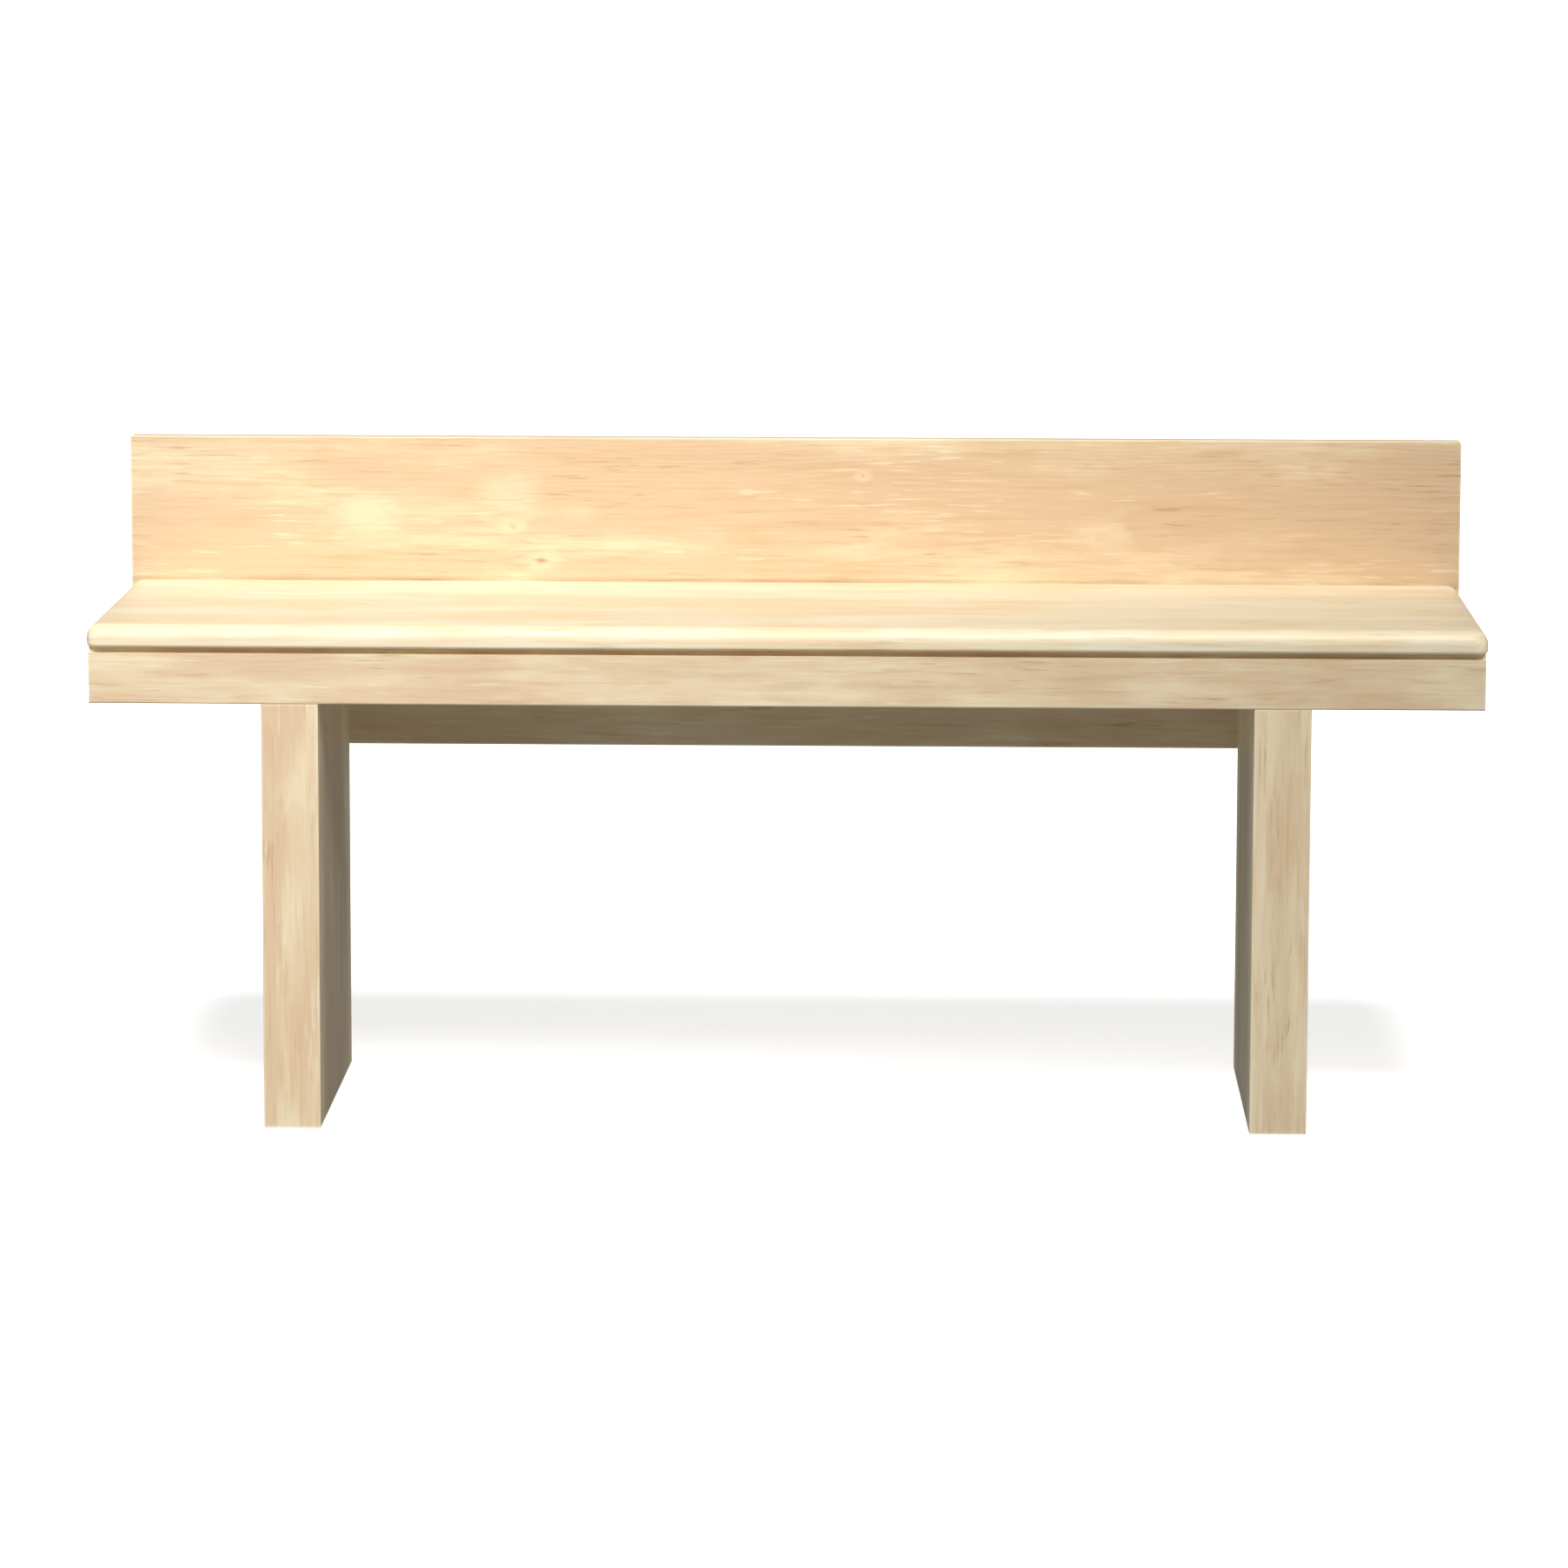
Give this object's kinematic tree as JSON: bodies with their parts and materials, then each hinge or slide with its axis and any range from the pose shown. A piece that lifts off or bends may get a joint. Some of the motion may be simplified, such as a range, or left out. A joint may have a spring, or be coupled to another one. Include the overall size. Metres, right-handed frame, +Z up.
{
  "type": "communion table",
  "caption": "Long pale wooden communion table with a round-edged top, an apron under a shadow line, two broad slab legs, a rear rail and a low upright back panel.",
  "frame": {"origin": "on the floor, in the middle of the bounding box's footprint", "axes": "+X to the right along the table's length, +Y from the front edge towards the back panel, +Z up"},
  "size_m": [2.2, 0.65, 1.045],
  "materials": {
    "show_wood": "satin",
    "inner_wood": "raw",
    "dowel_wood": "raw",
    "steel": "zinc plated",
    "glide_plastic": "matt"
  },
  "bodies": {
    "root": {"top_board_1": "show_wood", "top_board_2": "show_wood", "top_board_3": "show_wood", "top_board_4": "show_wood", "top_board_5": "show_wood", "top_tongues": "inner_wood", "front_apron": "show_wood", "rear_apron": "show_wood", "left_end_apron": "show_wood", "right_end_apron": "show_wood", "left_bearer": "inner_wood", "right_bearer": "inner_wood", "left_cross_rail": "inner_wood", "right_cross_rail": "inner_wood", "front_left_corner_block": "inner_wood", "front_right_corner_block": "inner_wood", "rear_left_corner_block": "inner_wood", "rear_right_corner_block": "inner_wood", "corner_block_screws": "steel", "frame_dowels": "dowel_wood", "top_buttons": "inner_wood", "top_button_screws": "steel", "back_panel_lower": "show_wood", "back_panel_middle": "show_wood", "back_panel_upper": "show_wood", "back_panel_tongues": "inner_wood", "back_panel_screws": "steel", "back_panel_dowels": "dowel_wood", "left_leg_outer_panel": "show_wood", "left_leg_inner_panel": "show_wood", "left_leg_front_board": "show_wood", "left_leg_rear_board": "show_wood", "left_leg_top_rail": "inner_wood", "left_leg_middle_rail": "inner_wood", "left_leg_bottom_rail": "inner_wood", "right_leg_outer_panel": "show_wood", "right_leg_inner_panel": "show_wood", "right_leg_front_board": "show_wood", "right_leg_rear_board": "show_wood", "right_leg_top_rail": "inner_wood", "right_leg_middle_rail": "inner_wood", "right_leg_bottom_rail": "inner_wood", "leg_bolts": "steel", "leg_bolt_washers": "steel", "leg_tee_nuts": "steel", "rear_rail": "show_wood", "rear_rail_dowels": "dowel_wood", "left_rail_bracket": "steel", "right_rail_bracket": "steel", "rail_bracket_screws": "steel", "front_left_glide": "glide_plastic", "front_right_glide": "glide_plastic", "rear_left_glide": "glide_plastic", "rear_right_glide": "glide_plastic", "floor_glide_screws": "steel"}
  },
  "joints": []
}
